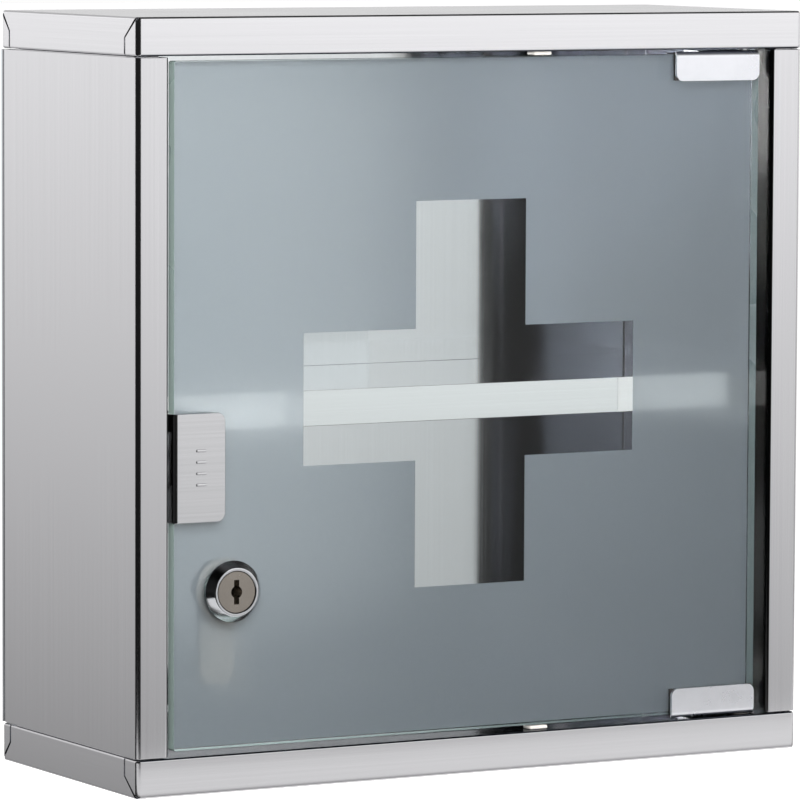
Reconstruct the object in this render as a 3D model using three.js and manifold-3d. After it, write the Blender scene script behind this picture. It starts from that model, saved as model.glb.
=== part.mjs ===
// A wall-hung medicine cabinet in folded stainless sheet, with an inset frosted glass door.
// Millimetres, +Z up, +X to the right as seen from the front, front facing -Y.
// The origin is the middle of the back face, which lies against the wall.
import * as THREE from "three";
import { mergeVertices } from "three/addons/utils/BufferGeometryUtils.js";
import Module from "manifold-3d";

const wasm = await Module();
wasm.setup();

// Driving dimensions of the steel shell
const cabinetWidth = 300;
const cabinetHeight = 300;
const cabinetDepth = 120;
const sheet = 0.8; // stainless sheet thickness
const bendRadius = 2; // outside radius of the folds
const capFlange = 15; // height of the folded rim of the top and bottom caps
const capReturn = 12; // width of the caps' inward lip at the sides and back
const capEdgeRound = 1; // fold radius along the caps' upper and lower edges
const frontEar = 10.5; // how far the front rim wraps onto the side
const backEar = 7.5; // how far the back rim wraps onto the side
const earNotch = 8; // height of the slanted part of the ear's seam
const earSeam = 1.2; // open width of the ear's seam
const capGap = 0.5; // open seam between a cap and the panels
const stileWidth = 14;
const stileReturn = 14; // depth of the stile's inner lip, and of the caps' front lip
const tabWidth = 10; // welding tabs on the side and back panels
const seat = 0.1; // gap left between faces that lie on each other
const running = 0.3; // gap round pieces that turn, slide or are pressed in

// Wall fixing holes in the back panel
const hangSpacingX = 220;
const hangSpacingZ = 220;
const hangHoleRadius = 4;
const hangSlotRadius = 2.5;
const hangSlotRise = 9;

// Shelf and the ledges it rests on
const supportLeg = 10;
const supportInset = 5; // from the shelf's front and back edges
const shelfTop = 3.4; // height of the shelf's top face above the middle
const shelfFlange = 14;
const shelfSetback = 15; // from the cabinet's front plane to the shelf's front

// Door glass and its frosting
const glassThickness = 5;
const glassRecess = 4; // from the cabinet's front plane to the glass
const glassSideGap = 4;
const glassEndGap = 2; // above and below the glass
const glassCorner = 1;
const filmThickness = 0.2;
const filmInset = 0.4; // clear border round the frosting
const crossWidth = 150;
const crossHeight = 152.5;
const crossUpright = 50; // width of the upright bar
const crossLevel = 52; // height of the level bar
const crossShift = 2; // of the cross's middle to the right of the glass's middle
const crossRise = 0.5; // of the cross's middle above the glass's middle

// Hinge clamps, their liners, pins and bushes
const clampWidth = 39;
const clampHeight = 12;
const clampWeb = 0.8; // over the edge of the glass
const clampBridge = 28; // length of the web and the back jaw, at the pivot's end
const clampFrontJaw = 1.3;
const clampTopRound = 2.5; // fold from the front jaw to the web
const clampBackJaw = 4;
const clampCorner = 3;
const clampEndInset = 1.5; // from the glass edge to the clamp's end
const linerThickness = 0.4;
const linerFront = 1.5; // thickness behind the clamp's front jaw
const linerInset = 0.2;
const pivotInset = 6; // from the glass edge to the pivot axis
const pinRadius = 2;
const pinReach = 6; // of the pin past the cap's lip
const bushRadius = 3.5;
const bushFlangeRadius = 5;
const bushFlange = 1.2;
const washerRadius = 4.5;
const washerThickness = 0.4;
const grubRadius = 2;
const grubProud = 0.6;
const grubSpacing = 14;
const grubFromEnd = 7; // from the back jaw's end
const hexSocket = 1.1; // radius of the grub screw's socket
const hexSocketDepth = 2;

// Push plate folded round the free edge of the glass
const plateWidth = 22.4;
const plateHeight = 42.2;
const plateCentreZ = -23.5;
const plateSheet = 0.8;
const plateTape = 0.4;
const plateBend = 2; // outside radius of the fold
const plateCorner = 3.5;
const plateBackWidth = 20;

// Touch latch behind the push plate
const latchFromEdge = 7; // from the glass edge to the latch's axis
const magnetRadius = 4;
const magnetLength = 3;
const plungerHeadRadius = 5.5;
const plungerHeadLength = 4;
const plungerRadius = 4;
const plungerLength = 26; // of the stem behind the head
const plungerTravel = 3.5;
const housingWidth = 14;
const housingHeight = 16;
const housingLength = 44;
const housingWall = 2; // closed end of the bore
const springWire = 0.4; // wire radius
const springCoil = 2.9; // radius of the coil at the wire's middle
const springTurns = 6;
const bracketSheet = 1;
const bracketLength = 36;
const bracketMargin = 2; // of the bracket past the housing's side
const bracketWall = 8; // height of the leaf on the side panel
const latchScrewRadius = 1.3;
const latchScrewHead = 2.6;
const latchScrewHeadHeight = 1.6;
const latchScrewReach = 3; // into the housing
const latchScrewSpacing = 22;

// Cam lock through the glass
const lockFromEdge = 25; // from the glass edge to the lock's axis
const lockZ = -72;
const bezelBaseRadius = 12;
const bezelFaceRadius = 9.4;
const bezelRise = 4;
const bezelFoot = 0.8; // straight part of the bezel on the glass
const barrelRadius = 9;
const plugRadius = 8;
const keySlotWidth = 2.2;
const keySlotHeight = 9.5;
const keyHoleRadius = 2.4;
const keyDepth = 6;
const gasketThickness = 0.3;
const gasketRadius = 11.8;
const lockWasherRadius = 12.5;
const lockWasherThickness = 0.6;
const nutAcross = 22; // across the flats
const nutThickness = 3;
const camLength = 38; // from the lock's axis to the tip
const camWidth = 15;
const camThickness = 1.8;
const camClearance = 0.8; // behind the stile's lip when the lock is turned
const camHubRadius = 9.5;
const driveHalf = 3; // half side of the square drive behind the plug
const camScrewHead = 4;
const camScrewHeadHeight = 2;
const camScrewRadius = 1.5;
const camScrewReach = 4;

// Clear bumpers in the door gap
const bumperX = 31;
const bumperWidth = 8;
const bumperDepth = 6;
const bumperClearance = 0.4; // left to the glass edge

// Counts and small working distances
const arcSteps = 4; // per quarter turn of a fold
const edgeSteps = 3; // round the caps' upper and lower edges
const roundSteps = 32;
const wireSides = 5;
const stepsPerTurn = 10;
const nutSides = 6;
const overrun = 1; // how far a cutting body reaches past the face it opens
const weldDistance = 1e-4; // corners closer than this are one

// Places worked out from the dimensions
const halfWidth = cabinetWidth / 2;
const halfHeight = cabinetHeight / 2;
const frontY = -cabinetDepth;
const capSeam = halfHeight - capFlange; // height where a cap meets the panels
const openingHalfWidth = halfWidth - stileWidth;
const panelTop = capSeam - capGap;
const tabTop = capSeam - seat; // the welding tabs lie on the caps' lips
const sideInner = halfWidth - sheet;
const panelBackY = -(sheet + seat); // the side panels end inside the back panel
const lipEndY = frontY + stileReturn;
const glassFrontY = frontY + glassRecess;
const glassBackY = glassFrontY + glassThickness;
const glassMidY = (glassFrontY + glassBackY) / 2;
const glassHalfWidth = openingHalfWidth - glassSideGap;
const glassHalfHeight = capSeam - glassEndGap;
const filmBackY = glassBackY + seat + filmThickness;
const pivotX = glassHalfWidth - pivotInset;
const clampRight = glassHalfWidth - clampEndInset;
const clampLeft = clampRight - clampWidth;
const backJawLeft = clampRight - clampBridge;
const lockX = -glassHalfWidth + lockFromEdge;
const plateFrontY = glassFrontY - plateTape - plateSheet - 2 * seat;
const plateBackY = filmBackY + plateTape + plateSheet + 2 * seat;
const plateLeft = -glassHalfWidth - seat - plateSheet;
const latchX = -glassHalfWidth + latchFromEdge;
const latchZ = plateCentreZ;

// Materials, with the colour, roughness and metalness of each finish
const finish = (color, roughness, metalness) =>
  new THREE.MeshStandardMaterial({ color, roughness, metalness });
const brushedSteel = finish(0xc9c9cb, 0.32, 1);
const polishedSteel = finish(0xd6d8da, 0.12, 1);
const chrome = finish(0xe2e4e8, 0.08, 1);
const nickel = finish(0xb3a998, 0.22, 1);
const clearGlass = finish(0xa9bcb8, 0.05, 0);
const frosting = finish(0x93a0a2, 0.7, 0);
const blackRubber = finish(0x1b1b1c, 0.8, 0);
const blackNylon = finish(0x2a2a2b, 0.5, 0);
const greyPlastic = finish(0x9a9a9a, 0.5, 0);
const clearPlastic = finish(0xdedede, 0.25, 0);

const cabinet = new THREE.Group();
cabinet.name = "medicine_cabinet";

function addPiece(name, geometry, material) {
  const mesh = new THREE.Mesh(toGeometry(toSolid(geometry)), material);
  mesh.name = name;
  cabinet.add(mesh);
}

// Solids: a closed geometry becomes a manifold, is joined or cut, and comes back as a geometry
function toSolid(geometry) {
  const bare = geometry.index ? geometry.toNonIndexed() : geometry.clone();
  bare.deleteAttribute("normal");
  bare.deleteAttribute("uv");
  const merged = mergeVertices(bare, weldDistance);
  const vertProperties = new Float32Array(merged.getAttribute("position").array);
  const corners = [];
  for (let i = 0; i < merged.index.count; i += 3) {
    const [a, b, c] = merged.index.array.slice(i, i + 3);
    if (a !== b && b !== c && c !== a) corners.push(a, b, c);
  }
  const triVerts = new Uint32Array(corners);
  return new wasm.Manifold(new wasm.Mesh({ numProp: 3, vertProperties, triVerts }));
}

function toGeometry(solid) {
  const mesh = solid.getMesh();
  const geometry = new THREE.BufferGeometry();
  geometry.setAttribute("position", new THREE.BufferAttribute(mesh.vertProperties, 3));
  geometry.setIndex(new THREE.BufferAttribute(mesh.triVerts, 1));
  geometry.computeVertexNormals();
  return geometry;
}

function cut(geometry, ...tools) {
  return toGeometry(tools.reduce((solid, tool) => solid.subtract(toSolid(tool)), toSolid(geometry)));
}

function join(geometry, ...others) {
  return toGeometry(others.reduce((solid, other) => solid.add(toSolid(other)), toSolid(geometry)));
}

// A copy reflected in the plane square to one axis, with its faces turned back to point out
function reflected(geometry, axis) {
  const flat = geometry.index ? geometry.toNonIndexed() : geometry.clone();
  flat.deleteAttribute("normal");
  flat.deleteAttribute("uv");
  const scale = { x: [-1, 1, 1], z: [1, 1, -1] }[axis];
  flat.scale(...scale);
  const position = flat.getAttribute("position");
  for (let i = 0; i < position.count; i += 3) {
    const second = [position.getX(i + 1), position.getY(i + 1), position.getZ(i + 1)];
    position.setXYZ(i + 1, position.getX(i + 2), position.getY(i + 2), position.getZ(i + 2));
    position.setXYZ(i + 2, ...second);
  }
  flat.computeVertexNormals();
  return flat;
}

// Shapes and their extrusions along each axis
function block(x0, x1, y0, y1, z0, z1) {
  const box = new THREE.BoxGeometry(x1 - x0, y1 - y0, z1 - z0);
  return box.translate((x0 + x1) / 2, (y0 + y1) / 2, (z0 + z1) / 2);
}

function polygon(points) {
  return new THREE.Shape(points.map(([a, b]) => new THREE.Vector2(a, b)));
}

// A rectangle with its own radius at each corner: lower left, lower right, upper right, upper left
function roundedRectangle(a0, a1, b0, b1, radii) {
  const [lowerLeft, lowerRight, upperRight, upperLeft] = radii;
  const shape = new THREE.Shape();
  shape.moveTo(a0 + lowerLeft, b0);
  shape.lineTo(a1 - lowerRight, b0);
  if (lowerRight) shape.absarc(a1 - lowerRight, b0 + lowerRight, lowerRight, -Math.PI / 2, 0, false);
  shape.lineTo(a1, b1 - upperRight);
  if (upperRight) shape.absarc(a1 - upperRight, b1 - upperRight, upperRight, 0, Math.PI / 2, false);
  shape.lineTo(a0 + upperLeft, b1);
  if (upperLeft) shape.absarc(a0 + upperLeft, b1 - upperLeft, upperLeft, Math.PI / 2, Math.PI, false);
  shape.lineTo(a0, b0 + lowerLeft);
  if (lowerLeft) shape.absarc(a0 + lowerLeft, b0 + lowerLeft, lowerLeft, Math.PI, 1.5 * Math.PI, false);
  return shape;
}

const evenRadii = (radius) => [radius, radius, radius, radius];

function extrudeZ(shape, z0, z1, steps = arcSteps) {
  const plain = { depth: z1 - z0, bevelEnabled: false, curveSegments: steps };
  return new THREE.ExtrudeGeometry(shape, plain).translate(0, 0, z0);
}

// The outline is in X and Z
function extrudeY(shape, y0, y1, steps = arcSteps) {
  const turn = new THREE.Matrix4().set(1, 0, 0, 0, 0, 0, -1, 0, 0, 1, 0, 0, 0, 0, 0, 1);
  const plain = { depth: y1 - y0, bevelEnabled: false, curveSegments: steps };
  return new THREE.ExtrudeGeometry(shape, plain).applyMatrix4(turn).translate(0, y1, 0);
}

// The outline is in Y and Z
function extrudeX(shape, x0, x1, steps = arcSteps) {
  const turn = new THREE.Matrix4().set(0, 0, 1, 0, 1, 0, 0, 0, 0, 1, 0, 0, 0, 0, 0, 1);
  const plain = { depth: x1 - x0, bevelEnabled: false, curveSegments: steps };
  return new THREE.ExtrudeGeometry(shape, plain).applyMatrix4(turn).translate(x0, 0, 0);
}

// Turned pieces: the profile holds radius and height pairs, starting and ending on the axis
function turnedZ(profile, x, y) {
  const points = profile.map(([radius, height]) => new THREE.Vector2(radius, height));
  const upright = new THREE.Matrix4().set(1, 0, 0, 0, 0, 0, -1, 0, 0, 1, 0, 0, 0, 0, 0, 1);
  return new THREE.LatheGeometry(points, roundSteps).applyMatrix4(upright).translate(x, y, 0);
}

function turnedY(profile, x, z) {
  const points = profile.map(([radius, depth]) => new THREE.Vector2(radius, depth));
  return new THREE.LatheGeometry(points, roundSteps).translate(x, 0, z);
}

const rodZ = (radius, z0, z1, x, y) => turnedZ([[0, z0], [radius, z0], [radius, z1], [0, z1]], x, y);
const rodY = (radius, y0, y1, x, z) => turnedY([[0, y0], [radius, y0], [radius, y1], [0, y1]], x, z);

// Side panel: one folded sheet with the side wall, the front stile, its inner lip and a rear flange
function sidePanelSection() {
  const inside = bendRadius - sheet;
  const lipX = -openingHalfWidth;
  const shape = new THREE.Shape();
  shape.moveTo(-sideInner + tabWidth, panelBackY);
  shape.lineTo(-halfWidth + bendRadius, panelBackY);
  shape.absarc(-halfWidth + bendRadius, panelBackY - bendRadius, bendRadius, Math.PI / 2, Math.PI, false);
  shape.lineTo(-halfWidth, frontY + bendRadius);
  shape.absarc(-halfWidth + bendRadius, frontY + bendRadius, bendRadius, Math.PI, 1.5 * Math.PI, false);
  shape.lineTo(lipX - bendRadius, frontY);
  shape.absarc(lipX - bendRadius, frontY + bendRadius, bendRadius, -Math.PI / 2, 0, false);
  shape.lineTo(lipX, lipEndY);
  shape.lineTo(lipX - sheet, lipEndY);
  shape.lineTo(lipX - sheet, frontY + bendRadius);
  shape.absarc(lipX - bendRadius, frontY + bendRadius, inside, 0, -Math.PI / 2, true);
  shape.lineTo(-halfWidth + bendRadius, frontY + sheet);
  shape.absarc(-halfWidth + bendRadius, frontY + bendRadius, inside, 1.5 * Math.PI, Math.PI, true);
  shape.lineTo(-sideInner, panelBackY - bendRadius);
  shape.absarc(-halfWidth + bendRadius, panelBackY - bendRadius, inside, Math.PI, Math.PI / 2, true);
  shape.lineTo(-sideInner + tabWidth, panelBackY - sheet);
  return shape;
}

function leftSidePanel() {
  const wall = extrudeZ(sidePanelSection(), -panelTop, panelTop);
  const tabFront = frontY + bendRadius + sheet;
  const tabBack = -(capReturn + sheet);
  const [tabLeft, tabRight] = [-sideInner - sheet / 2, -sideInner + tabWidth];
  const tab = block(tabLeft, tabRight, tabFront, tabBack, tabTop - sheet, tabTop);
  return join(wall, tab, reflected(tab, "z"));
}

// Back panel: flat sheet with welding tabs turned forward, and holes to hang it by
function backPanel() {
  const plate = block(-halfWidth, halfWidth, -sheet, 0, -panelTop, panelTop);
  const tabHalf = sideInner - tabWidth - sheet;
  const tab = block(-tabHalf, tabHalf, -tabWidth, -sheet / 2, tabTop - sheet, tabTop);
  const holes = [];
  for (const side of [-1, 1]) {
    const x = (side * hangSpacingX) / 2;
    const z = hangSpacingZ / 2;
    holes.push(rodY(hangHoleRadius, -2 * sheet, sheet, x, z));
    holes.push(block(x - hangSlotRadius, x + hangSlotRadius, -2 * sheet, sheet, z, z + hangSlotRise));
    holes.push(rodY(hangSlotRadius, -2 * sheet, sheet, x, z + hangSlotRise));
    holes.push(rodY(hangHoleRadius, -2 * sheet, sheet, x, -z));
  }
  return cut(join(plate, tab, reflected(tab, "z")), ...holes);
}

// The open seam of an ear, as a thin band in Y and Z through the left rim of the top cap
function earSeamBand(cornerY, reach) {
  const half = earSeam / 2;
  const seamY = cornerY + reach;
  const slant = Math.sign(reach) * half;
  const past = 2 * sheet;
  const band = polygon([
    [cornerY - slant, halfHeight + past],
    [cornerY + 2 * slant, halfHeight + past],
    [cornerY + 2 * slant, halfHeight],
    [seamY + slant, halfHeight - earNotch],
    [seamY + slant, capSeam - past],
    [seamY - slant, capSeam - past],
    [seamY - slant, halfHeight - earNotch],
    [cornerY - slant, halfHeight],
  ]);
  return extrudeX(band, -halfWidth - sheet, -sideInner + seat);
}

// Top cap: a shallow folded tray, open below inside its lip, with ears round the corners and a bush hole
function topCap() {
  const outline = roundedRectangle(-halfWidth, halfWidth, frontY, 0, evenRadii(bendRadius));
  const rounded = {
    depth: capFlange - 2 * capEdgeRound,
    bevelThickness: capEdgeRound,
    bevelSize: capEdgeRound,
    bevelOffset: -capEdgeRound,
    bevelSegments: edgeSteps,
    curveSegments: arcSteps,
  };
  const outer = new THREE.ExtrudeGeometry(outline, rounded).translate(0, 0, capSeam + capEdgeRound);
  const insideRadii = evenRadii(bendRadius - sheet);
  const inner = roundedRectangle(-sideInner, sideInner, frontY + sheet, -sheet, insideRadii);
  const pocket = extrudeZ(inner, capSeam + sheet, halfHeight - sheet);
  const lipX = sideInner - capReturn;
  const mouth = block(-lipX, lipX, lipEndY, -(capReturn + sheet), capSeam - sheet, capSeam + 2 * sheet);
  const bushHole = rodZ(bushRadius + running, capSeam - sheet, capSeam + 2 * sheet, pivotX, glassMidY);
  const seams = [earSeamBand(frontY, frontEar), earSeamBand(0, -backEar)];
  return cut(outer, pocket, mouth, bushHole, ...seams, ...seams.map((seam) => reflected(seam, "x")));
}

// Shelf: a sheet with all four edges turned down
function shelf() {
  const x = sideInner - seat;
  const front = frontY + shelfSetback;
  const back = panelBackY - sheet - seat;
  const outline = roundedRectangle(-x, x, front, back, [0, 0, bendRadius, bendRadius]);
  const inside = bendRadius - sheet;
  const radii = [0, 0, inside, inside];
  const hollow = roundedRectangle(-x + sheet, x - sheet, front + sheet, back - sheet, radii);
  const outer = extrudeZ(outline, shelfTop - shelfFlange, shelfTop);
  return cut(outer, extrudeZ(hollow, shelfTop - shelfFlange - sheet, shelfTop - sheet));
}

// Door glass with the lock's hole, and its frosted film with a clear cross
function doorGlass() {
  const outline = roundedRectangle(
    -glassHalfWidth, glassHalfWidth, -glassHalfHeight, glassHalfHeight, evenRadii(glassCorner),
  );
  const pane = extrudeY(outline, glassFrontY, glassBackY);
  const past = [glassFrontY - overrun, glassBackY + overrun];
  return cut(pane, rodY(barrelRadius + running, ...past, lockX, lockZ));
}

function frostedFilm() {
  const x = glassHalfWidth - filmInset;
  const z = glassHalfHeight - filmInset;
  const filmFront = glassBackY + seat;
  const film = block(-x, x, filmFront, filmBackY, -z, z);
  const past = [filmFront - filmThickness, filmBackY + filmThickness];
  const bar = (width, height) => {
    const [left, low] = [crossShift - width / 2, crossRise - height / 2];
    return block(left, left + width, ...past, low, low + height);
  };
  const upright = bar(crossUpright, crossHeight);
  const level = bar(crossWidth, crossLevel);
  return cut(film, upright, level, rodY(barrelRadius + running, ...past, lockX, lockZ));
}

// Ledge under the shelf's end: an angle welded to the side panel
function leftShelfSupport() {
  const wallX = -sideInner + seat;
  const top = shelfTop - shelfFlange - seat;
  const [y0, y1] = [frontY + shelfSetback + supportInset, panelBackY - sheet - supportInset];
  const ledge = block(wallX, wallX + supportLeg, y0, y1, top - sheet, top);
  return join(ledge, block(wallX, wallX + sheet, y0, y1, top - supportLeg, top));
}

// Hinge clamp: a U over the edge of the glass, lined with rubber and tightened by grub screws
const webBelow = glassHalfHeight + linerThickness + 2 * seat;
const clampUpper = webBelow + clampWeb;
const clampLower = clampUpper - clampHeight;
const jawFrontY = glassFrontY - linerFront - 2 * seat;
const jawBackY = filmBackY + linerThickness + 2 * seat;
const grubZ = clampUpper - clampHeight / 2;
const grubXs = [backJawLeft + grubFromEnd, backJawLeft + grubFromEnd + grubSpacing];

function hingeClamp() {
  const radii = [clampCorner, clampCorner, 0, 0];
  const outline = roundedRectangle(clampLeft, clampRight, clampLower, clampUpper, radii);
  const [frontFace, backFace] = [jawFrontY - clampFrontJaw, jawBackY + clampBackJaw];
  const section = roundedRectangle(frontFace, backFace, clampLower, clampUpper, [0, 0, 0, clampTopRound]);
  const bar = toSolid(extrudeX(section, clampLeft, clampRight));
  const face = extrudeY(outline, frontFace - overrun, backFace + overrun);
  const body = toGeometry(bar.intersect(toSolid(face)));
  const [left, low, high] = [clampLeft - overrun, clampLower - overrun, clampUpper + overrun];
  const throat = block(left, clampRight + overrun, jawFrontY, jawBackY, low, webBelow);
  const open = block(left, backJawLeft, jawFrontY, backFace + overrun, low, high);
  const pinHole = rodZ(pinRadius + running, webBelow - overrun, high, pivotX, glassMidY);
  const past = [jawBackY - seat, backFace + overrun];
  const grubHoles = grubXs.map((x) => rodY(grubRadius + running, ...past, x, grubZ));
  return cut(body, throat, open, pinHole, ...grubHoles);
}

function hingeLiner() {
  const [x0, x1] = [clampLeft + linerInset, clampRight - linerInset];
  const low = clampLower + linerInset;
  const outer = block(x0, x1, jawFrontY + seat, jawBackY - seat, low, webBelow - seat);
  const [left, under] = [x0 - overrun, low - overrun];
  const edgeZ = glassHalfHeight + seat;
  const throat = block(left, x1 + overrun, glassFrontY - seat, filmBackY + seat, under, edgeZ);
  const open = block(left, backJawLeft + linerInset, filmBackY, jawBackY, under, webBelow);
  return cut(outer, throat, open);
}

const hingePin = () => rodZ(pinRadius, webBelow, capSeam + pinReach, pivotX, glassMidY);

function hingeBush() {
  const bore = pinRadius + running;
  const step = capSeam + sheet + seat;
  const top = step + bushFlange;
  const profile = [
    [bore, capSeam],
    [bushRadius, capSeam],
    [bushRadius, step],
    [bushFlangeRadius, step],
    [bushFlangeRadius, top],
    [bore, top],
    [bore, capSeam],
  ];
  return turnedZ(profile, pivotX, glassMidY);
}

// Thrust washer that the door's lower clamp stands on
function hingeWasher() {
  const bore = pinRadius + running;
  const [z0, z1] = [-capSeam + seat, -capSeam + seat + washerThickness];
  const profile = [[bore, z0], [washerRadius, z0], [washerRadius, z1], [bore, z1], [bore, z0]];
  return turnedZ(profile, pivotX, glassMidY);
}

function grubScrew(x) {
  const end = jawBackY + clampBackJaw + grubProud;
  const socket = rodY(hexSocket, end - hexSocketDepth, end + overrun, x, grubZ);
  return cut(rodY(grubRadius, jawBackY, end, x, grubZ), socket);
}

// Push plate folded round the glass edge, with a rubber liner inside it
const plateLow = plateCentreZ - plateHeight / 2;
const plateHigh = plateCentreZ + plateHeight / 2;
const plateRight = plateLeft + plateWidth;

function pushPlate() {
  const radii = [plateBend, 0, 0, plateBend];
  const fold = roundedRectangle(plateLeft, plateRight, plateFrontY, plateBackY, radii);
  const body = extrudeZ(fold, plateLow, plateHigh);
  const [right, front, back] = [plateRight + overrun, plateFrontY - overrun, plateBackY + overrun];
  const height = [plateLow - overrun, plateHigh + overrun];
  const inside = [plateFrontY + plateSheet, plateBackY - plateSheet];
  const throat = block(plateLeft + plateSheet, right, ...inside, ...height);
  const frame = block(plateRight - plateCorner, right, front, back, ...height);
  const kept = roundedRectangle(
    plateLeft, plateRight, plateLow, plateHigh, [0, plateCorner, plateCorner, 0],
  );
  const corners = cut(frame, extrudeY(kept, front - overrun, back + overrun));
  const trim = block(plateLeft + plateBackWidth, right, filmBackY + plateTape, back, ...height);
  return cut(body, throat, corners, trim);
}

function pushPlateLiner(faceY) {
  const [x0, x1] = [plateLeft + plateSheet + seat, plateLeft + plateBackWidth - linerInset];
  return block(x0, x1, faceY, faceY + plateTape, plateLow + linerInset, plateHigh - linerInset);
}

// Cam lock: bezel and barrel, gasket, washer and nut, then the plug with its cam
const bezelBackY = glassFrontY - gasketThickness - 2 * seat;
const bezelFrontY = bezelBackY - bezelRise;
const camFrontY = lipEndY + camClearance;
const camBackY = camFrontY + camThickness;
const barrelEndY = camFrontY - running;
const ringY = (inner, outer, y0, y1, x, z) =>
  turnedY([[inner, y0], [outer, y0], [outer, y1], [inner, y1], [inner, y0]], x, z);

function lockBody() {
  const bore = plugRadius + running;
  const profile = [
    [bore, bezelFrontY],
    [bezelFaceRadius, bezelFrontY],
    [bezelBaseRadius, bezelBackY - bezelFoot],
    [bezelBaseRadius, bezelBackY],
    [barrelRadius, bezelBackY],
    [barrelRadius, barrelEndY],
    [bore, barrelEndY],
    [bore, bezelFrontY],
  ];
  return turnedY(profile, lockX, lockZ);
}

const lockBore = barrelRadius + running;
const lockWasherY = filmBackY + seat;
const lockNutY = lockWasherY + lockWasherThickness + seat;
const lockGasket = () => ringY(lockBore, gasketRadius, bezelBackY + seat, glassFrontY - seat, lockX, lockZ);
const lockWasher = () =>
  ringY(lockBore, lockWasherRadius, lockWasherY, lockWasherY + lockWasherThickness, lockX, lockZ);

function lockNut() {
  const reach = nutAcross / 2 / Math.cos(Math.PI / nutSides);
  const corners = Array.from({ length: nutSides }, (_, i) => [
    lockX + reach * Math.cos((2 * Math.PI * i) / nutSides),
    lockZ + reach * Math.sin((2 * Math.PI * i) / nutSides),
  ]);
  const blank = extrudeY(polygon(corners), lockNutY, lockNutY + nutThickness);
  const past = [lockNutY - overrun, lockNutY + nutThickness + overrun];
  return cut(blank, rodY(lockBore, ...past, lockX, lockZ));
}

function lockPlug() {
  const faceY = bezelFrontY + running;
  const endY = camBackY - seat;
  const body = rodY(plugRadius, faceY, barrelEndY, lockX, lockZ);
  const drive = block(
    lockX - driveHalf, lockX + driveHalf, barrelEndY - overrun, endY, lockZ - driveHalf, lockZ + driveHalf,
  );
  const keyPast = [faceY - overrun, faceY + keyDepth];
  const slot = block(
    lockX - keySlotWidth / 2, lockX + keySlotWidth / 2, ...keyPast,
    lockZ - keySlotHeight / 2, lockZ + keySlotHeight / 2,
  );
  const eye = rodY(keyHoleRadius, ...keyPast, lockX, lockZ);
  const screwPast = [endY - camScrewReach - running, endY + overrun];
  const screwHole = rodY(camScrewRadius + running, ...screwPast, lockX, lockZ);
  return cut(join(body, drive), slot, eye, screwHole);
}

function lockCam() {
  const half = camWidth / 2;
  const tongue = roundedRectangle(
    lockX - half, lockX + half, lockZ - camLength, lockZ, [half / 2, half / 2, 0, 0],
  );
  const blank = join(
    extrudeY(tongue, camFrontY, camBackY),
    rodY(camHubRadius, camFrontY, camBackY, lockX, lockZ),
  );
  const hole = driveHalf + running;
  const past = [camFrontY - overrun, camBackY + overrun];
  return cut(blank, block(lockX - hole, lockX + hole, ...past, lockZ - hole, lockZ + hole));
}

function camScrew() {
  const headY = camBackY + seat;
  const profile = [
    [0, camBackY - seat - camScrewReach],
    [camScrewRadius, camBackY - seat - camScrewReach],
    [camScrewRadius, headY],
    [camScrewHead, headY],
    [camScrewHead, headY + camScrewHeadHeight],
    [0, headY + camScrewHeadHeight],
  ];
  return turnedY(profile, lockX, lockZ);
}

// Touch latch: plunger with a magnet, spring, housing, bracket and screws
const plungerTipY = plateBackY + running;
const plungerHeadBackY = plungerTipY + plungerHeadLength;
const plungerEndY = plungerHeadBackY + plungerLength;
const housingFrontY = plungerHeadBackY + plungerTravel + running;
const housingBackY = housingFrontY + housingLength;
const boreEndY = housingBackY - housingWall;
const housingLow = latchZ - housingHeight / 2;
const bracketTop = housingLow - seat;
const housingMidY = (housingFrontY + housingBackY) / 2;
const latchScrewYs = [housingMidY - latchScrewSpacing / 2, housingMidY + latchScrewSpacing / 2];

function latchPlunger() {
  const profile = [
    [0, plungerTipY],
    [plungerHeadRadius, plungerTipY],
    [plungerHeadRadius, plungerHeadBackY],
    [plungerRadius, plungerHeadBackY],
    [plungerRadius, plungerEndY],
    [0, plungerEndY],
  ];
  const pocketEnd = plungerTipY + magnetLength + seat;
  return cut(
    turnedY(profile, latchX, latchZ),
    rodY(magnetRadius + running, plungerTipY - overrun, pocketEnd, latchX, latchZ),
  );
}

const latchMagnet = () => rodY(magnetRadius, plungerTipY, plungerTipY + magnetLength, latchX, latchZ);

function latchHousing() {
  const [x0, x1] = [latchX - housingWidth / 2, latchX + housingWidth / 2];
  const body = block(x0, x1, housingFrontY, housingBackY, housingLow, housingLow + housingHeight);
  const bore = rodY(plungerRadius + running, housingFrontY - overrun, boreEndY, latchX, latchZ);
  const past = [housingLow - overrun, housingLow + latchScrewReach + running];
  const holes = latchScrewYs.map((y) => rodZ(latchScrewRadius + running, ...past, latchX, y));
  return cut(body, bore, ...holes);
}

class Coil extends THREE.Curve {
  getPoint(t, target = new THREE.Vector3()) {
    const [y0, y1] = [plungerEndY + running + springWire, boreEndY - running - springWire];
    const turn = 2 * Math.PI * springTurns * t;
    return target.set(
      latchX + springCoil * Math.cos(turn), y0 + (y1 - y0) * t, latchZ + springCoil * Math.sin(turn),
    );
  }
}

function latchSpring() {
  const wire = polygon(
    Array.from({ length: wireSides }, (_, i) => [
      springWire * Math.cos((2 * Math.PI * i) / wireSides),
      springWire * Math.sin((2 * Math.PI * i) / wireSides),
    ]),
  );
  return new THREE.ExtrudeGeometry(wire, { extrudePath: new Coil(), steps: springTurns * stepsPerTurn });
}

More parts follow.
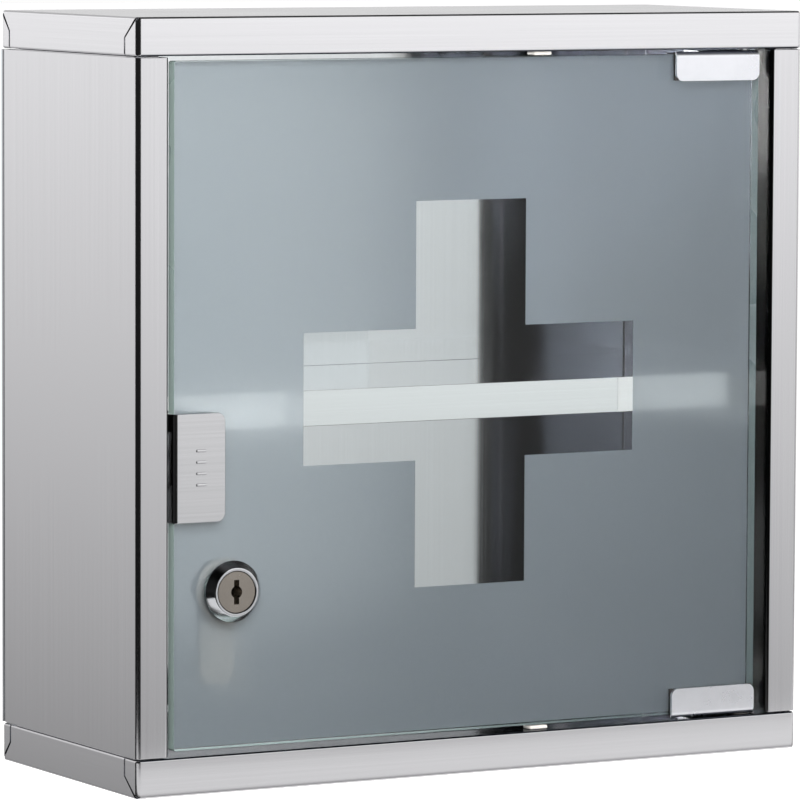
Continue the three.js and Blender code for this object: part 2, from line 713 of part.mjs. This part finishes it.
function latchBracket() {
  const [x0, x1] = [-sideInner + seat, latchX + housingWidth / 2 + bracketMargin];
  const [y0, y1] = [housingMidY - bracketLength / 2, housingMidY + bracketLength / 2];
  const low = bracketTop - bracketSheet;
  const ledge = block(x0, x1, y0, y1, low, bracketTop);
  const wall = block(x0, x0 + bracketSheet, y0, y1, low, low + bracketWall);
  const past = [low - overrun, bracketTop + overrun];
  const holes = latchScrewYs.map((y) => rodZ(latchScrewRadius + running, ...past, latchX, y));
  return cut(join(ledge, wall), ...holes);
}

function latchScrew(y) {
  const headTop = bracketTop - bracketSheet - seat;
  const profile = [
    [0, headTop - latchScrewHeadHeight],
    [latchScrewHead, headTop - latchScrewHeadHeight],
    [latchScrewHead, headTop],
    [latchScrewRadius, headTop],
    [latchScrewRadius, housingLow + latchScrewReach],
    [0, housingLow + latchScrewReach],
  ];
  return turnedZ(profile, latchX, y);
}

// Bumper in the gap above the glass
function topBumper() {
  const [x0, x1] = [bumperX - bumperWidth / 2, bumperX + bumperWidth / 2];
  const [y0, y1] = [glassMidY - bumperDepth / 2, glassMidY + bumperDepth / 2];
  return block(x0, x1, y0, y1, glassHalfHeight + bumperClearance, capSeam - seat);
}

// Shell
addPiece("left_side_panel", leftSidePanel(), brushedSteel);
addPiece("right_side_panel", reflected(leftSidePanel(), "x"), brushedSteel);
addPiece("back_panel", backPanel(), polishedSteel);
addPiece("top_cap", topCap(), brushedSteel);
addPiece("bottom_cap", reflected(topCap(), "z"), brushedSteel);
addPiece("shelf", shelf(), polishedSteel);
addPiece("shelf_support_left", leftShelfSupport(), polishedSteel);
addPiece("shelf_support_right", reflected(leftShelfSupport(), "x"), polishedSteel);
addPiece("hinge_bush_top", hingeBush(), blackNylon);
addPiece("hinge_bush_bottom", reflected(hingeBush(), "z"), blackNylon);
addPiece("hinge_washer", hingeWasher(), blackNylon);
addPiece("bumper_top", topBumper(), clearPlastic);
addPiece("bumper_bottom", reflected(topBumper(), "z"), clearPlastic);

// Door
addPiece("door_glass", doorGlass(), clearGlass);
addPiece("frosted_film", frostedFilm(), frosting);
addPiece("hinge_clamp_top", hingeClamp(), chrome);
addPiece("hinge_clamp_bottom", reflected(hingeClamp(), "z"), chrome);
addPiece("hinge_liner_top", hingeLiner(), blackRubber);
addPiece("hinge_liner_bottom", reflected(hingeLiner(), "z"), blackRubber);
addPiece("hinge_pin_top", hingePin(), chrome);
addPiece("hinge_pin_bottom", reflected(hingePin(), "z"), chrome);
addPiece("hinge_screw_top_left", grubScrew(grubXs[0]), nickel);
addPiece("hinge_screw_top_right", grubScrew(grubXs[1]), nickel);
addPiece("hinge_screw_bottom_left", reflected(grubScrew(grubXs[0]), "z"), nickel);
addPiece("hinge_screw_bottom_right", reflected(grubScrew(grubXs[1]), "z"), nickel);
addPiece("push_plate", pushPlate(), brushedSteel);
addPiece("push_plate_liner_front", pushPlateLiner(glassFrontY - seat - plateTape), blackRubber);
addPiece("push_plate_liner_back", pushPlateLiner(filmBackY + seat), blackRubber);
addPiece("lock_body", lockBody(), chrome);
addPiece("lock_gasket", lockGasket(), blackRubber);
addPiece("lock_washer", lockWasher(), nickel);
addPiece("lock_nut", lockNut(), nickel);
addPiece("lock_plug", lockPlug(), nickel);
addPiece("lock_cam", lockCam(), nickel);
addPiece("cam_screw", camScrew(), nickel);

// Touch latch
addPiece("latch_bracket", latchBracket(), polishedSteel);
addPiece("latch_housing", latchHousing(), greyPlastic);
addPiece("latch_screw_front", latchScrew(latchScrewYs[0]), nickel);
addPiece("latch_screw_back", latchScrew(latchScrewYs[1]), nickel);
addPiece("latch_spring", latchSpring(), nickel);
addPiece("latch_plunger", latchPlunger(), greyPlastic);
addPiece("latch_magnet", latchMagnet(), nickel);

export default cabinet;
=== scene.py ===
import math

import bpy
from mathutils import Matrix, Vector


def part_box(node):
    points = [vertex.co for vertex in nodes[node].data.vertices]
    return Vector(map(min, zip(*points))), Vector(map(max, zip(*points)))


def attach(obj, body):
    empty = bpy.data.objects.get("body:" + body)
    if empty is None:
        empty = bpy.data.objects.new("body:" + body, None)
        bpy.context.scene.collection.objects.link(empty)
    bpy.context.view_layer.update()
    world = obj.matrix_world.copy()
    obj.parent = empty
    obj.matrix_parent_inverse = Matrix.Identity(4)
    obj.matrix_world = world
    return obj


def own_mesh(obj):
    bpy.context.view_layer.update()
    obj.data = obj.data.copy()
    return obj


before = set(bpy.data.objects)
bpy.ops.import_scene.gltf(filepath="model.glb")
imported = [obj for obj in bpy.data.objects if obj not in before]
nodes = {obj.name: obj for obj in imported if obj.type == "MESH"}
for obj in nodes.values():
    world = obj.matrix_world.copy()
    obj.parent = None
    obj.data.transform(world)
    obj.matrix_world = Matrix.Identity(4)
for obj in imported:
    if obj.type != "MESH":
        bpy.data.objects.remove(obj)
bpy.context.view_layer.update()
scene = bpy.context.scene
mm = 0.001
white = (1, 1, 1, 1)
print("frame loaded:", len(nodes), "nodes")

# Places of the cabinet that the scene works from, in metres
plateLow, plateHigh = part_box("push_plate")
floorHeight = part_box("bottom_cap")[0].z
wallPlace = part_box("right_side_panel")[1].x
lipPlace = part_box("right_side_panel")[0].x
filmMiddle = sum(corner.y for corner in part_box("frosted_film")) / 2


def newMaterial(name):
    material = bpy.data.materials.new(name)
    material.use_nodes = True
    material.node_tree.nodes.clear()
    return material, material.node_tree


def addNode(tree, kind, inputs=None, **settings):
    node = tree.nodes.new(kind)
    for key, value in settings.items():
        setattr(node, key, value)
    for key, value in (inputs or {}).items():
        if isinstance(value, bpy.types.NodeSocket):
            tree.links.new(value, node.inputs[key])
        else:
            node.inputs[key].default_value = value
    return node


def setSurface(tree, shader, kind="ShaderNodeOutputMaterial"):
    addNode(tree, kind, {"Surface": shader})


def principled(tree, inputs):
    return addNode(tree, "ShaderNodeBsdfPrincipled", inputs).outputs[0]


def coordinate(tree, kind):
    return addNode(tree, "ShaderNodeTexCoord").outputs[kind]


def axesOf(tree, vector):
    return addNode(tree, "ShaderNodeSeparateXYZ", {0: vector}).outputs


def calculate(tree, operation, *values):
    return addNode(tree, "ShaderNodeMath", dict(enumerate(values)), operation=operation).outputs[0]


def objectNoise(tree, stretch, detail=4.0, roughness=0.6):
    place = coordinate(tree, "Object")
    stretched = addNode(tree, "ShaderNodeMapping", {"Vector": place, "Scale": stretch})
    noise = addNode(
        tree,
        "ShaderNodeTexNoise",
        {"Vector": stretched.outputs["Vector"], "Scale": 1.0, "Detail": detail, "Roughness": roughness},
    )
    return noise.outputs["Fac"]


# The noise stays between about 0.3 and 0.7, and is spread from there to the wanted range
def spread(tree, value, low, high, fromLow=0.3, fromHigh=0.7):
    node = addNode(
        tree,
        "ShaderNodeMapRange",
        {"Value": value, "From Min": fromLow, "From Max": fromHigh, "To Min": low, "To Max": high},
    )
    return node.outputs["Result"]


def mixed(tree, share, first, second, kind):
    node = addNode(tree, "ShaderNodeMix", {"Factor": share, "A": first, "B": second}, data_type=kind)
    return node.outputs["Result"]


def twoColours(tree, share, dark, light):
    return mixed(tree, share, (*dark, 1), (*light, 1), "RGBA")


def twoShaders(tree, share, first, second):
    return addNode(tree, "ShaderNodeMixShader", {0: share, 1: first, 2: second}).outputs[0]


# 1 on the faces that look along an axis, either way
def looksAlong(tree, axis, least=0.7):
    lean = calculate(tree, "ABSOLUTE", axesOf(tree, coordinate(tree, "Normal"))[axis])
    return calculate(tree, "GREATER_THAN", lean, least)


# 1 on the faces of the shell's sheets that look towards the middle of the cabinet,
# which are further from the middle than a given distance
def looksInside(tree, distance):
    across = addNode(
        tree,
        "ShaderNodeVectorMath",
        {0: coordinate(tree, "Normal"), 1: coordinate(tree, "Object")},
        operation="MULTIPLY",
    )
    sides = addNode(
        tree,
        "ShaderNodeVectorMath",
        {0: across.outputs["Vector"], 1: (1, 0, 1)},  # the depth doesn't count
        operation="DOT_PRODUCT",
    )
    return calculate(tree, "LESS_THAN", sides.outputs["Value"], -distance)


# What all the brushed sheets share, with lengths in mm
sheet = {"blotches": (14, 14, 14), "blotchRoughness": 0.01, "relief": 0.02, "insideFrom": 60}


# Sheet metal with a fine grain: the noise is drawn out along the brushing, which may turn on faces that
# look along X. The faces inside may be painted dark as shade, going from the nearly black lip to the wall.
def brushedMetal(name, colours, grain, roughness, bump, sideGrain=None, inside=None):
    material, tree = newMaterial(name)
    streaks = objectNoise(tree, grain)
    if sideGrain:
        streaks = mixed(tree, looksAlong(tree, "X"), streaks, objectNoise(tree, sideGrain), "FLOAT")
    blotches = objectNoise(tree, sheet["blotches"], detail=2.0)
    colour = twoColours(tree, spread(tree, streaks, 0, 1), *colours)
    # Painted shade: the faces that look into the cabinet get a dark colour, nearly black on the lip
    if inside:
        across = calculate(tree, "ABSOLUTE", axesOf(tree, coordinate(tree, "Object"))["X"])
        paintedShade = twoColours(tree, spread(tree, across, 0, 1, lipPlace, wallPlace), *inside)
        colour = mixed(tree, looksInside(tree, sheet["insideFrom"] * mm), colour, paintedShade, "RGBA")
    uneven = spread(tree, blotches, -sheet["blotchRoughness"], sheet["blotchRoughness"])
    relief = addNode(
        tree,
        "ShaderNodeBump",
        {"Height": streaks, "Strength": bump, "Distance": sheet["relief"] * mm},
    )
    shader = principled(
        tree,
        {
            "Base Color": colour,
            "Metallic": 1.0,
            "Roughness": calculate(tree, "ADD", spread(tree, streaks, *roughness), uneven),
            "Normal": relief.outputs["Normal"],
        },
    )
    setSurface(tree, shader)
    return material


def platedMetal(name, colours, roughness, cloudScale=(90, 90, 90)):
    material, tree = newMaterial(name)
    cloud = objectNoise(tree, cloudScale, detail=3.0)
    shader = principled(
        tree,
        {
            "Base Color": twoColours(tree, spread(tree, cloud, 0, 1), *colours),
            "Metallic": 1.0,
            "Roughness": spread(tree, cloud, *roughness),
        },
    )
    setSurface(tree, shader)
    return material


def mouldedPlastic(name, colours, roughness, clearness=0.0, grainScale=(400, 400, 400)):
    material, tree = newMaterial(name)
    grain = objectNoise(tree, grainScale, detail=2.0)
    shader = principled(
        tree,
        {
            "Base Color": twoColours(tree, spread(tree, grain, 0, 1), *colours),
            "Roughness": spread(tree, grain, *roughness),
            "Transmission Weight": clearness,
        },
    )
    setSurface(tree, shader)
    return material


# The flat faces are clear with a gloss, and the ground edges show the glass's green, with painted shade
# making them darker towards the hinge, on the side away from the lamp
def paneGlass(name, clear, bending, roughness, smearScale, edge):
    material, tree = newMaterial(name)
    smear = objectNoise(tree, smearScale, detail=2.0)
    gloss = addNode(
        tree,
        "ShaderNodeBsdfGlossy",
        {"Color": white, "Roughness": spread(tree, smear, *roughness)},
    )
    through = addNode(tree, "ShaderNodeBsdfTransparent", {"Color": (*clear, 1)})
    mirrored = addNode(tree, "ShaderNodeFresnel", {"IOR": bending})
    flat = twoShaders(tree, mirrored.outputs[0], through.outputs[0], gloss.outputs[0])
    across = axesOf(tree, coordinate(tree, "Object"))["X"]
    # Painted shade: the edge colour darkens across the pane towards the hinge side
    paintedEdgeShade = spread(tree, across, 0, 1, -edge["reach"] * mm, edge["reach"] * mm)
    ground = principled(
        tree,
        {
            "Base Color": twoColours(tree, paintedEdgeShade, *edge["colours"]),
            "Roughness": spread(tree, smear, *edge["roughness"]),
            "Transmission Weight": edge["clearness"],
        },
    )
    setSurface(tree, twoShaders(tree, looksAlong(tree, "Y"), ground, flat))
    return material


# A thin skin whose back face scatters: part of the light comes back, part spreads inside and part passes
# blurred
def frostedSkin(name, grainScale, back, inwards, inwardShare, blur, blurShare, front):
    material, tree = newMaterial(name)
    grain = objectNoise(tree, grainScale, detail=2.0)
    grains = spread(tree, grain, 0, 1)
    returned = addNode(tree, "ShaderNodeBsdfDiffuse", {"Color": twoColours(tree, grains, *back)})
    passed = addNode(tree, "ShaderNodeBsdfTranslucent", {"Color": twoColours(tree, grains, *inwards)})
    blurred = addNode(
        tree,
        "ShaderNodeBsdfRefraction",
        {
            "Color": (*blur["colour"], 1),
            "Roughness": spread(tree, grain, *blur["roughness"]),
            "IOR": blur["bending"],
        },
    )
    scattered = twoShaders(tree, inwardShare, returned.outputs[0], passed.outputs[0])
    rough = twoShaders(tree, blurShare, scattered, blurred.outputs[0])
    smooth = addNode(tree, "ShaderNodeBsdfTransparent", {"Color": (*front, 1)})
    depth = axesOf(tree, coordinate(tree, "Object"))["Y"]
    isBack = calculate(tree, "GREATER_THAN", depth, filmMiddle)
    setSurface(tree, twoShaders(tree, isBack, smooth.outputs[0], rough))
    return material


upright, level, deep = (1400, 1400, 5), (5, 1400, 1400), (1400, 5, 1400)  # noise scales along each brushing
satin = (0.17, 0.20)
# Painted shade for the faces inside the cabinet: dark on the walls and caps, nearly black on the lips
# beside the door
paintedInsideShade, paintedLipShade = (0.09, 0.10, 0.125), (0.05, 0.05, 0.05)

# One entry per finish: how its material is made, the CAD nodes that carry it, and the width of their
# broken edges in mm
finishes = [
    {
        "name": "upBrushedSteel",
        "make": brushedMetal,
        "look": {
            "colours": ((0.67, 0.665, 0.685), (0.71, 0.705, 0.725)),
            "grain": upright,
            "roughness": satin,
            "bump": 0.05,
            "inside": (paintedLipShade, paintedInsideShade),
        },
        "slot": "brushed_steel",
        "edge": 0.25,
        "nodes": ["left_side_panel", "right_side_panel"],
    },
    {
        "name": "acrossBrushedSteel",
        "make": brushedMetal,
        "look": {
            "colours": ((0.72, 0.715, 0.735), (0.76, 0.755, 0.775)),
            "grain": level,
            "sideGrain": deep,
            "roughness": satin,
            "bump": 0.05,
            "inside": (paintedInsideShade, paintedInsideShade),
        },
        "slot": "brushed_steel",
        "edge": 0.25,
        "nodes": ["top_cap", "bottom_cap"],
    },
    {
        "name": "plateBrushedSteel",
        "make": brushedMetal,
        "look": {
            "colours": ((0.74, 0.74, 0.76), (0.80, 0.80, 0.82)),
            "grain": level,
            "roughness": satin,
            "bump": 0.06,
        },
        "slot": "brushed_steel",
        "edge": 0.25,
        "nodes": ["push_plate"],
    },
    {
        "name": "insideSteel",
        "make": brushedMetal,
        "look": {
            "colours": ((0.70, 0.715, 0.735), (0.74, 0.755, 0.775)),
            "grain": upright,
            "roughness": (0.05, 0.08),
            "bump": 0.01,
        },
        "slot": "polished_steel",
        "edge": 0.25,
        "nodes": ["back_panel", "shelf_support_left", "shelf_support_right", "latch_bracket"],
    },
    # Painted light: the shelf's polished steel is made much lighter than the other polished steel, standing
    # for the light that falls on it through the frosting
    {
        "name": "shelfSteelPaintedLight",
        "make": brushedMetal,
        "look": {
            "colours": ((0.92, 0.925, 0.93), (0.96, 0.965, 0.97)),
            "grain": level,
            "roughness": (0.08, 0.11),
            "bump": 0.02,
        },
        "slot": "polished_steel",
        "edge": 0.35,
        "nodes": ["shelf"],
    },
    {
        "name": "chromePlate",
        "make": platedMetal,
        "look": {"colours": ((0.80, 0.81, 0.85), (0.86, 0.87, 0.91)), "roughness": (0.26, 0.31)},
        "slot": "chrome",
        "edge": 0.4,
        "nodes": ["hinge_clamp_top", "hinge_clamp_bottom", "hinge_pin_top", "hinge_pin_bottom"],
    },
    {
        "name": "lockChrome",
        "make": platedMetal,
        "look": {"colours": ((0.72, 0.73, 0.76), (0.78, 0.79, 0.82)), "roughness": (0.12, 0.17)},
        "slot": "chrome",
        "edge": 0.4,
        "nodes": ["lock_body"],
    },
    {
        "name": "nickelPlate",
        "make": platedMetal,
        "look": {"colours": ((0.36, 0.325, 0.29), (0.43, 0.39, 0.345)), "roughness": (0.2, 0.3)},
        "slot": "nickel",
        "edge": 0.2,
        "nodes": [
            "hinge_screw_top_left",
            "hinge_screw_top_right",
            "hinge_screw_bottom_left",
            "hinge_screw_bottom_right",
            "lock_washer",
            "lock_nut",
            "lock_plug",
            "lock_cam",
            "cam_screw",
            "latch_screw_front",
            "latch_screw_back",
            "latch_magnet",
            "latch_spring",
        ],
    },
    {
        "name": "paneGlass",
        "make": paneGlass,
        "look": {
            "clear": (0.97, 0.985, 0.985),
            "bending": 1.25,
            "roughness": (0.005, 0.03),
            "smearScale": (12, 12, 12),
            "edge": {
                # the edge colours run from the lamp's side to the painted shade on the hinge side
                "colours": ((0.25, 0.34, 0.335), (0.07, 0.10, 0.105)),
                "roughness": (0.2, 0.3),
                "clearness": 0.2,
                "reach": 130,
            },
        },
        "slot": "clear_glass",
        "edge": 0.5,
        "nodes": ["door_glass"],
    },
    {
        "name": "frostedSkin",
        "make": frostedSkin,
        "look": {
            "grainScale": (900, 900, 900),
            "back": ((0.66, 0.76, 0.86), (0.70, 0.80, 0.90)),
            "inwards": ((0.775, 0.785, 0.79), (0.815, 0.825, 0.83)),
            "inwardShare": 0.68,
            "blur": {"colour": (0.89, 0.9, 0.905), "roughness": (0.5, 0.56), "bending": 1.25},
            "blurShare": 0.4,
            "front": (0.65, 0.66, 0.67),
        },
        "slot": "frosting",
        "edge": 0,
        "nodes": ["frosted_film"],
    },
    {
        "name": "blackRubber",
        "make": mouldedPlastic,
        "look": {"colours": ((0.012, 0.012, 0.013), (0.03, 0.03, 0.03)), "roughness": (0.6, 0.8)},
        "slot": "black_rubber",
        "edge": 0,
        "nodes": [
            "hinge_liner_top",
            "hinge_liner_bottom",
            "push_plate_liner_front",
            "push_plate_liner_back",
            "lock_gasket",
        ],
    },
    {
        "name": "blackNylon",
        "make": mouldedPlastic,
        "look": {"colours": ((0.02, 0.02, 0.02), (0.035, 0.035, 0.035)), "roughness": (0.4, 0.55)},
        "slot": "black_nylon",
        "edge": 0.2,
        "nodes": ["hinge_bush_top", "hinge_bush_bottom", "hinge_washer"],
    },
    {
        "name": "greyPlastic",
        "make": mouldedPlastic,
        "look": {"colours": ((0.25, 0.25, 0.26), (0.33, 0.33, 0.34)), "roughness": (0.4, 0.55)},
        "slot": "grey_plastic",
        "edge": 0.4,
        "nodes": ["latch_housing", "latch_plunger"],
    },
    {
        "name": "clearPlastic",
        "make": mouldedPlastic,
        "look": {
            "colours": ((0.80, 0.81, 0.80), (0.88, 0.89, 0.88)),
            "roughness": (0.15, 0.25),
            "clearness": 0.6,
        },
        "slot": "clear_plastic",
        "edge": 0.5,
        "nodes": ["bumper_top", "bumper_bottom"],
    },
]
materials = {finish["name"]: finish["make"](finish["name"], **finish["look"]) for finish in finishes}
print("materials made:", len(materials))

# How edges are worked on every piece, with lengths in mm and angles in degrees
edgeWork = {"weld": 0.002, "flatAngle": 0.3, "segments": 2, "sharpAngle": 50}


# Joins the split corners, clears the flat triangles and breaks the sharp edges
def dress(piece, finish):
    piece.data.materials.clear()
    piece.data.materials.append(materials[finish["name"]])
    for polygon in piece.data.polygons:
        polygon.use_smooth = True
    weld = piece.modifiers.new("weld", "WELD")
    weld.merge_threshold = edgeWork["weld"] * mm
    flatten = piece.modifiers.new("flatten", "DECIMATE")
    flatten.decimate_type = "DISSOLVE"
    flatten.angle_limit = math.radians(edgeWork["flatAngle"])
    if finish["edge"]:
        bevel = piece.modifiers.new("bevel", "BEVEL")
        bevel.width = finish["edge"] * mm
        bevel.segments = edgeWork["segments"]
        bevel.limit_method = "ANGLE"
        bevel.angle_limit = math.radians(edgeWork["sharpAngle"])
    normals = piece.modifiers.new("normals", "WEIGHTED_NORMAL")
    normals.keep_sharp = True


for finish in finishes:
    for name in finish["nodes"]:
        dress(nodes[name], finish)

# The spring shortens by the plunger's travel, towards the closed end of the housing. Here it only gets a
# mesh of its own, and its node and the plunger's joint are listed.
latchCoil = {"node": "latch_spring", "joint": "latch_push"}
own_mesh(nodes[latchCoil["node"]])
print("nodes dressed")

# Four rounded bars stand in the middle of the push plate, where the hand presses. Lengths in mm
markBars = {"length": 4.6, "height": 1.3, "pitch": 4.4, "count": 4, "rise": 0.25, "shift": 0.8, "steps": 6}


# One bar is a stack of shrinking rings with round ends, closed at the top and bottom
def addPushMark(bars):
    middle = (plateLow + plateHigh) / 2
    x = middle.x + bars["shift"] * mm
    radius = bars["height"] / 2
    straight = bars["length"] / 2 - radius
    rings, around = bars["steps"], 4 * bars["steps"]
    points, faces = [], []
    for row in range(bars["count"]):
        z = middle.z + (row - (bars["count"] - 1) / 2) * bars["pitch"] * mm
        start = len(points)
        top = start + (rings - 1) * around
        for ring in range(rings):
            climb = ring / rings * math.pi / 2
            y = plateLow.y - bars["rise"] * math.sin(climb) * mm
            ringRadius = radius * math.cos(climb)
            for k in range(around):
                angle = 2 * math.pi * (k + 0.5) / around
                side = math.copysign(straight, math.cos(angle)) + ringRadius * math.cos(angle)
                points.append((x + side * mm, y, z + ringRadius * math.sin(angle) * mm))
        for low in range(start, top, around):
            for k in range(around):
                following = (k + 1) % around
                faces.append([low + k, low + following, low + around + following, low + around + k])
        faces.append([top + k for k in range(around)])
        faces.append([start + k for k in reversed(range(around))])
    mesh = bpy.data.meshes.new("push_mark")
    mesh.from_pydata(points, [], faces)
    mesh.polygons.foreach_set("use_smooth", [True] * len(mesh.polygons))
    mesh.materials.append(materials["plateBrushedSteel"])
    piece = bpy.data.objects.new("push_mark", mesh)
    scene.collection.objects.link(piece)
    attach(piece, "door")


addPushMark(markBars)
print("push mark added")


def addQuad(name, corners):
    mesh = bpy.data.meshes.new(name)
    mesh.from_pydata(corners, [], [(0, 1, 2, 3)])
    piece = bpy.data.objects.new(name, mesh)
    scene.collection.objects.link(piece)
    material, tree = newMaterial(name)
    mesh.materials.append(material)
    return piece, tree


# Pale floor, which lights nothing and is seen by the camera alone. Half its side is in metres
paleFloor = {
    "half": 12.0,
    "colours": ((0.88, 0.88, 0.88), (0.9, 0.9, 0.9)),
    "cloudScale": (3, 3, 3),
    "roughness": 0.9,
    "glow": 0.9,
}


def addFloor(look):
    turns = ((-1, -1), (1, -1), (1, 1), (-1, 1))
    floor, tree = addQuad("floor", [(x * look["half"], y * look["half"], floorHeight) for x, y in turns])
    cloud = objectNoise(tree, look["cloudScale"], detail=2.0)
    shader = principled(
        tree,
        {
            "Base Color": twoColours(tree, spread(tree, cloud, 0, 1), *look["colours"]),
            "Roughness": look["roughness"],
            "Emission Color": white,
            "Emission Strength": look["glow"],
        },
    )
    setSurface(tree, shader)
    floor.visible_glossy = False
    floor.visible_diffuse = False
    floor.visible_transmission = False


addFloor(paleFloor)

# White round the horizon and below, dark overhead and on the camera's side, where the folded edges look.
# Each ring is a height, from 0 straight down to 1 straight up, and its strength
studio = {
    "darkWay": (-0.87, -0.48, 0.0),
    "darkFrom": 0.15,
    "darkTo": 0.45,
    "darkest": 0.02,
    "rings": [
        (0, 1.0),
        (0.2, 0.9),
        (0.36, 0.35),
        (0.47, 0.6),
        (0.495, 1.0),
        (0.515, 1.0),
        (0.56, 0.65),
        (0.7, 0.6),
        (0.87, 0.05),
        (1, 0.05),
    ],
}


def setWorld(look):
    world = bpy.data.worlds.new("studio")
    scene.world = world
    world.use_nodes = True
    tree = world.node_tree
    tree.nodes.clear()
    direction = coordinate(tree, "Generated")
    towards = addNode(
        tree,
        "ShaderNodeVectorMath",
        {0: direction, 1: look["darkWay"]},
        operation="DOT_PRODUCT",
    )
    darkening = addNode(
        tree,
        "ShaderNodeMapRange",
        {
            "Value": towards.outputs["Value"],
            "From Min": look["darkFrom"],
            "From Max": look["darkTo"],
            "To Min": 1.0,
            "To Max": look["darkest"],
        },
        interpolation_type="SMOOTHSTEP",
    )
    height = spread(tree, axesOf(tree, direction)["Z"], 0, 1, -1, 1)
    rings = addNode(tree, "ShaderNodeFloatCurve", {"Value": height})
    curve = rings.mapping.curves[0]
    first, *others, last = look["rings"]
    curve.points[0].location, curve.points[1].location = first, last
    for ring in others:
        curve.points.new(*ring)
    rings.mapping.update()
    strength = calculate(tree, "MULTIPLY", darkening.outputs["Result"], rings.outputs[0])
    backdrop = addNode(tree, "ShaderNodeBackground", {"Color": white, "Strength": strength})
    setSurface(tree, backdrop.outputs[0], "ShaderNodeOutputWorld")


setWorld(studio)


# A glowing card that the camera doesn't see, with its own strength at each corner
def addCard(card):
    piece, tree = addQuad(card["name"], card["corners"])
    uv = piece.data.uv_layers.new(name="card")
    for loop, place in zip(uv.data, ((0, 0), (1, 0), (1, 1), (0, 1))):
        loop.uv = place
    place = axesOf(tree, coordinate(tree, "UV"))
    lowRow = spread(tree, place["X"], *card["low"], 0, 1)
    highRow = spread(tree, place["X"], *card["high"], 0, 1)
    strength = mixed(tree, place["Y"], lowRow, highRow, "FLOAT")
    glow = addNode(tree, "ShaderNodeEmission", {"Color": white, "Strength": strength})
    setSurface(tree, glow.outputs[0])
    piece.visible_camera = False
    piece.visible_shadow = False
    piece.visible_diffuse = card["lights"]


# The front faces see the first card, to the front right, the left side sees the second, to the back left,
# and the lower rim sees the third, on the floor before it. Low and high are the strengths at the ends of
# those edges, and places are in metres
frontCard = {
    "name": "front_card",
    "corners": [(-0.06, -0.43, -0.40), (0.60, -0.43, -0.40), (0.60, -0.43, 0.30), (-0.06, -0.43, 0.30)],
    "low": (0.0, 0.25),
    "high": (1.45, 1.4),
    "lights": True,
}
sideCard = {
    "name": "side_card",
    "corners": [(-0.32, 0.7, -0.40), (-0.32, 0.0, -0.40), (-0.32, 0.0, 0.30), (-0.32, 0.7, 0.30)],
    "low": (0.0, 0.0),
    "high": (1.35, 1.35),
    "lights": True,
}
footHeight = floorHeight + 0.5 * mm  # just over the floor
footCard = {
    "name": "foot_card",
    "corners": [
        (-0.3, -0.2, footHeight),
        (0.5, -0.2, footHeight),
        (0.5, -0.125, footHeight),
        (-0.3, -0.125, footHeight),
    ],
    "low": (0.8, 0.9),
    "high": (0.8, 0.9),
    "lights": False,
}
for card in (frontCard, sideCard, footCard):
    addCard(card)

# A soft lamp from the front left brightens that side of the frosting. Size and places in metres
softLamp = {
    "size": 0.5,
    "energy": 15.5,
    "colour": (1.0, 0.93, 0.88),
    "place": (-0.25, -0.6, 0.17),
    "aim": (-0.1, -0.12, 0.0),
}


def addLamp(look):
    data = bpy.data.lights.new("soft_lamp", "AREA")
    data.shape = "DISK"
    data.size = look["size"]
    data.energy = look["energy"]
    data.color = look["colour"]
    lamp = bpy.data.objects.new("soft_lamp", data)
    scene.collection.objects.link(lamp)
    lamp.location = look["place"]
    lamp.rotation_euler = (Vector(look["aim"]) - lamp.location).to_track_quat("-Z", "Y").to_euler()
    lamp.visible_glossy = False
    lamp.visible_camera = False


addLamp(softLamp)

# The camera, fitted to the photo's corners. Place and sensor in mm, angles in degrees, focal length and
# long side in pixels, far end in metres
view = {
    "place": (-1183.4, -2180.0, 207.4),
    "yaw": 29.138,
    "pitch": -5.053,
    "roll": 0.238,
    "focal": 6057.7,
    "longSide": 804,
    "sensor": 36,
    "farEnd": 50,
}


def addCamera(look):
    data = bpy.data.cameras.new("camera")
    data.sensor_width = look["sensor"]
    data.lens = look["focal"] * look["sensor"] / look["longSide"]
    data.clip_end = look["farEnd"]
    camera = bpy.data.objects.new("camera", data)
    scene.collection.objects.link(camera)
    turn = (
        Matrix.Rotation(math.radians(-look["yaw"]), 4, "Z")
        @ Matrix.Rotation(math.radians(90 + look["pitch"]), 4, "X")
        @ Matrix.Rotation(math.radians(look["roll"]), 4, "Z")
    )
    camera.matrix_world = Matrix.Translation(Vector(look["place"]) * mm) @ turn
    scene.camera = camera


addCamera(view)
scene.view_settings.view_transform = "Standard"
print("floor, studio and camera set")
